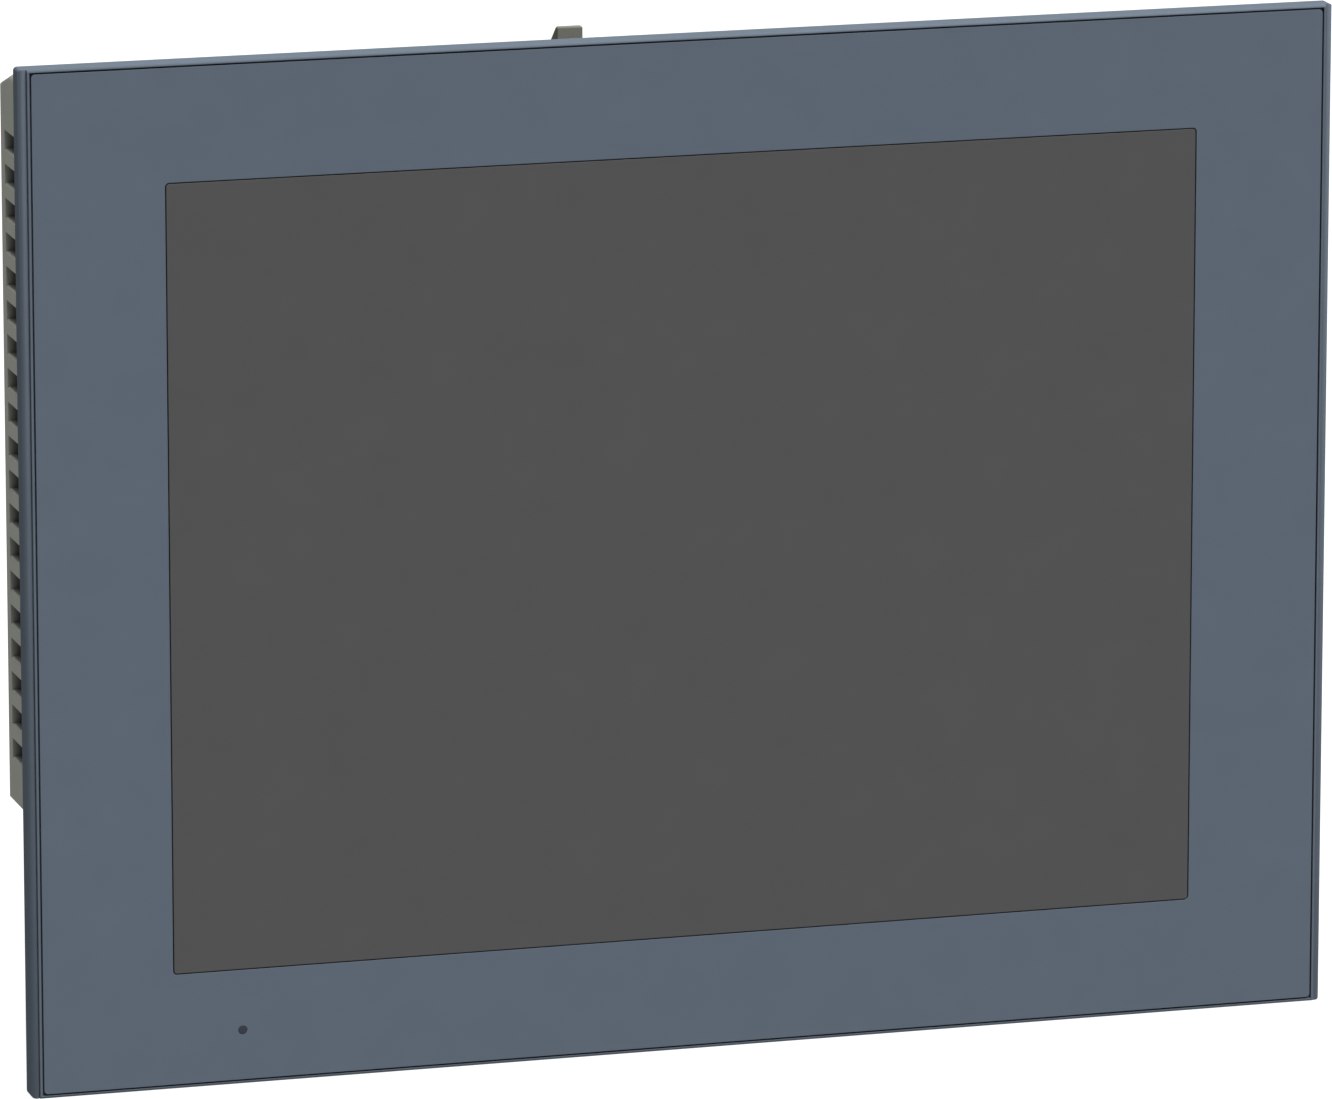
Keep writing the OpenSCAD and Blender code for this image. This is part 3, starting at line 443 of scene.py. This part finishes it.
class Build:
    """Collects boxes and rings, in millimetres, for one mesh; each belongs to a material number."""

    def __init__(self):
        self.mesh = bmesh.new()

    def box(self, x, y, z, paint=0):
        corners = [self.mesh.verts.new(Vector(p) * MM) for p in itertools.product(x, y, z)]
        for face in ((0, 1, 3, 2), (4, 6, 7, 5), (0, 4, 5, 1), (2, 3, 7, 6), (0, 2, 6, 4), (1, 5, 7, 3)):
            self.mesh.faces.new([corners[i] for i in face]).material_index = paint

    def prism(self, outline, low, high, paint=0):
        """An outline of (a, b) points in YZ, drawn from x = low to x = high."""
        rings = [[self.mesh.verts.new(Vector((x, *p)) * MM) for p in outline] for x in (low, high)]
        count = len(outline)
        faces = [rings[0][::-1], rings[1]]
        for i in range(count):
            j = (i + 1) % count
            faces.append([rings[0][i], rings[0][j], rings[1][j], rings[1][i]])
        for face in faces:
            self.mesh.faces.new(face).material_index = paint

    def sleeve(self, centre, z, outer, inner, paint=0):
        """A tube along Z about (x, y), from z[0] to z[1]."""
        count = SLEEVE_SIDES
        rings = [
            [
                self.mesh.verts.new(Vector((
                    centre[0] + r * math.cos(2 * math.pi * i / count),
                    centre[1] + r * math.sin(2 * math.pi * i / count),
                    h,
                )) * MM)
                for i in range(count)
            ]
            for r, h in ((outer, z[0]), (outer, z[1]), (inner, z[1]), (inner, z[0]))
        ]
        for a, b in zip(rings, rings[1:] + rings[:1]):
            for i in range(count):
                j = (i + 1) % count
                self.mesh.faces.new([a[i], a[j], b[j], b[i]]).material_index = paint

    def finish(self, name, body, paints, width):
        bmesh.ops.recalc_face_normals(self.mesh, faces=self.mesh.faces)
        data = bpy.data.meshes.new(name)
        self.mesh.to_mesh(data)
        self.mesh.free()
        for paint in paints:
            data.materials.append(surfaces[paint].material)
        piece = bpy.data.objects.new(name, data)
        bpy.context.scene.collection.objects.link(piece)
        bevel(piece, width)
        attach(piece, body)
        return piece


def box_mm(node):
    """The node's box as two corners in millimetres."""
    low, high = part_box(node)
    return Vector(low) / MM, Vector(high) / MM


def make_plate_rules():
    """Blank printed frames on the rating plate."""
    low, high = box_mm("rating_plate")
    margin, rule, ink = 4, 0.35, 0.03
    build = Build()
    y = (high.y - 0.005, high.y + ink)
    left, right, bottom, top = low.x + margin, high.x - margin, low.z + margin, high.z - margin
    rows = [bottom, bottom + 12, bottom + 22, bottom + 32, top - rule]
    for z in rows:
        build.box((left, right), y, (z, z + rule))
    # The upright rules, each with the height it reaches
    for x, z in ((left, top), (right - rule, top), (left + 30, rows[3]), (left + 58, rows[1])):
        build.box((x, x + rule), y, (bottom + rule, z - rule))
    build.finish("plate_rules", "unit", ["label_ink"], 0.005)


def make_board_parts():
    """Chip resistors, ceramic capacitors and small outline chips on the board's rear face."""
    face = box_mm("main_board")[1].y
    seat = face - 0.02  # the small parts sink this little into the board
    pick = random.Random(12)
    build = Build()
    step_x, step_z = CHIP_PITCH
    ends = ((0, CHIP_CAP, CHIP_CAP_GROWS, 1), (1 - CHIP_CAP, 1, CHIP_CAP_GROWS, 1))
    for x0, x1, z0, z1 in BOARD_ZONES:
        for i, j in itertools.product(range(int((x1 - x0) / step_x)), range(int((z1 - z0) / step_z))):
            if pick.random() < CHIP_SKIPS:
                continue
            x, z = x0 + step_x * i + CHIP_INSET, z0 + step_z * j + CHIP_INSET
            length, width, height, paint = pick.choice(CHIP_SIZES)
            across = pick.random() < 0.5
            for low, high, grow, colour in (ends[0], (CHIP_CAP, 1 - CHIP_CAP, 0, paint), ends[1]):
                along = (length * (low - 0.5), length * (high - 0.5))
                side = (-width / 2 - grow, width / 2 + grow)
                a, b = (along, side) if across else (side, along)
                depth = (seat, face + height + grow)
                build.box((x + a[0], x + a[1]), depth, (z + b[0], z + b[1]), colour)
    build.finish("board_parts", "unit", ["chip_plastic", "tin", "ceramic"], 0.04)


def make_jack_fittings():
    """A shield spring beside each modular jack's mouth, and the two light windows of a network jack."""
    build = Build()
    spring_in, spring_out = 0.22, 0.05
    light_x, light_half_w = 5.6, 1.1
    for name in ("serial_jack", "ethernet_jack_1", "ethernet_jack_2"):
        low, high = box_mm(name)
        middle = (low.x + high.x) / 2
        outline = [
            (low.y + 5, low.z + 1), (low.y + 8, low.z + 1),
            (low.y + 7.4, low.z + 8), (low.y + 5.6, low.z + 8),
        ]
        for x, turn in ((low.x, -1), (high.x, 1)):
            build.prism(outline, *sorted((x - turn * spring_out, x + turn * spring_in)))
        if name != "serial_jack":
            y, z = (high.y - 3.2, high.y - 1.6), (low.z - 0.08, low.z + 0.4)
            for x, paint in ((middle - light_x, 1), (middle + light_x, 2)):
                build.box((x - light_half_w, x + light_half_w), y, z, paint)
    paints = ["nickel_shell", "amber_window", "green_window"]
    build.finish("jack_fittings", "unit", paints, 0.05)


def make_usb_springs():
    """The two leaf springs in the long walls of each USB mouth."""
    build = Build()
    inset, half_width, leaf, bulge = 4.2, 0.9, 0.15, 0.5
    for name in ("usb_port_1", "usb_port_2"):
        low, high = box_mm(name)
        front, middle, rear = low.z + 0.9, low.z + 5, low.z + 8
        for x in (low.x + inset, high.x - inset):
            for wall, turn in ((low.y + 0.6, 1), (high.y - 0.8, -1)):
                outline = [
                    (wall, front), (wall + turn * leaf, front), (wall + turn * bulge, middle),
                    (wall + turn * leaf, rear), (wall, rear),
                ]
                build.prism(outline, x - half_width, x + half_width)
    build.finish("usb_springs", "unit", ["nickel_shell"], 0.03)


def make_wire_sleeves():
    """The metal clamp sleeves in the supply plug's three wire holes."""
    low, high = box_mm("power_plug")
    middle = (low.x + high.x) / 2
    pitch, outer_r, inner_r = 5.08, 1.88, 1.6
    build = Build()
    for n in (-1, 0, 1):
        build.sleeve((middle + pitch * n, low.y + 3.6), (low.z + 0.8, low.z + 4.2), outer_r, inner_r)
    build.finish("wire_sleeves", "plug", ["nickel_shell"], 0.05)


make_plate_rules()
make_board_parts()
make_jack_fittings()
make_usb_springs()
make_wire_sleeves()
